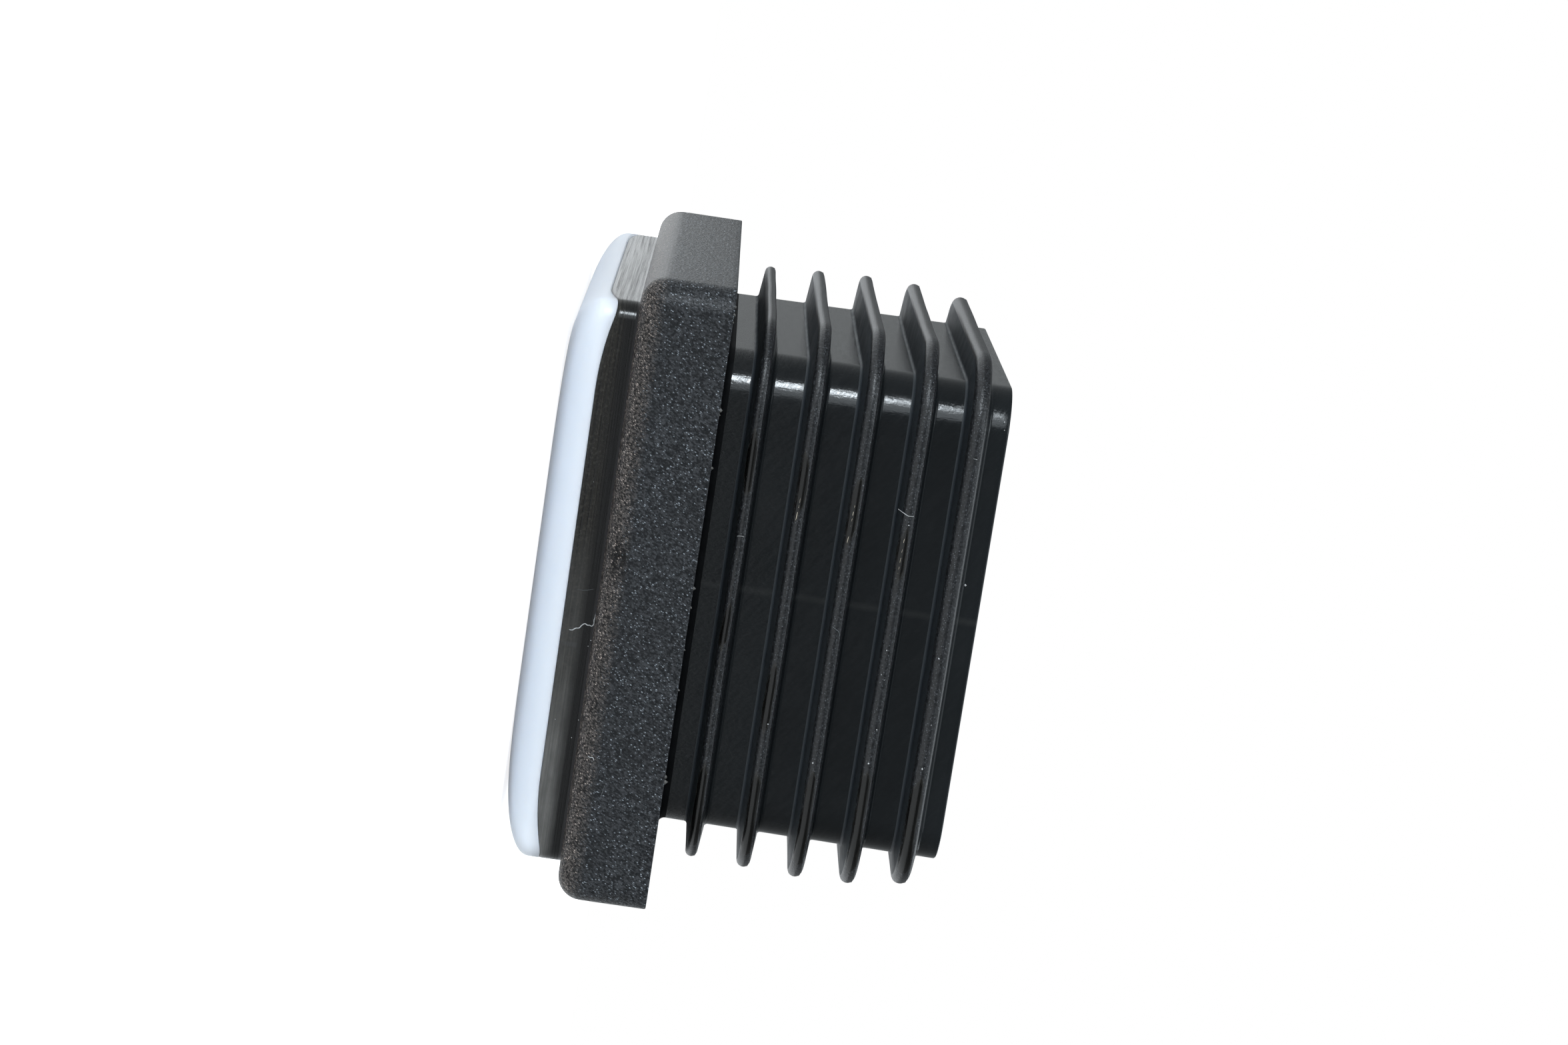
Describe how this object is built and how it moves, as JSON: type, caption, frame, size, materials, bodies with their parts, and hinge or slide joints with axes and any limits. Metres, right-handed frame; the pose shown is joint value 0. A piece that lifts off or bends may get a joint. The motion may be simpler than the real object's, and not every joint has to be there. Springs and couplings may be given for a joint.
{
  "type": "square tube end cap",
  "caption": "Square tube end cap: a ribbed hollow plug presses into the tube, a grained flange covers its end, and a pale pad on the foot glides on the floor.",
  "frame": {"origin": "the middle of the glide face, on the plane that the cap stands on", "axes": "+Z points along the plug to its open end; X and Y run square to the flange's sides"},
  "size_m": [0.025, 0.025, 0.0176],
  "materials": {
    "black_plastic": "smooth black moulding, with a spark-eroded grain on the flange",
    "pale_plastic": "smooth pale blue-white moulding"
  },
  "bodies": {
    "root": {"insert": "black_plastic", "glide_pad": "pale_plastic"}
  },
  "joints": []
}
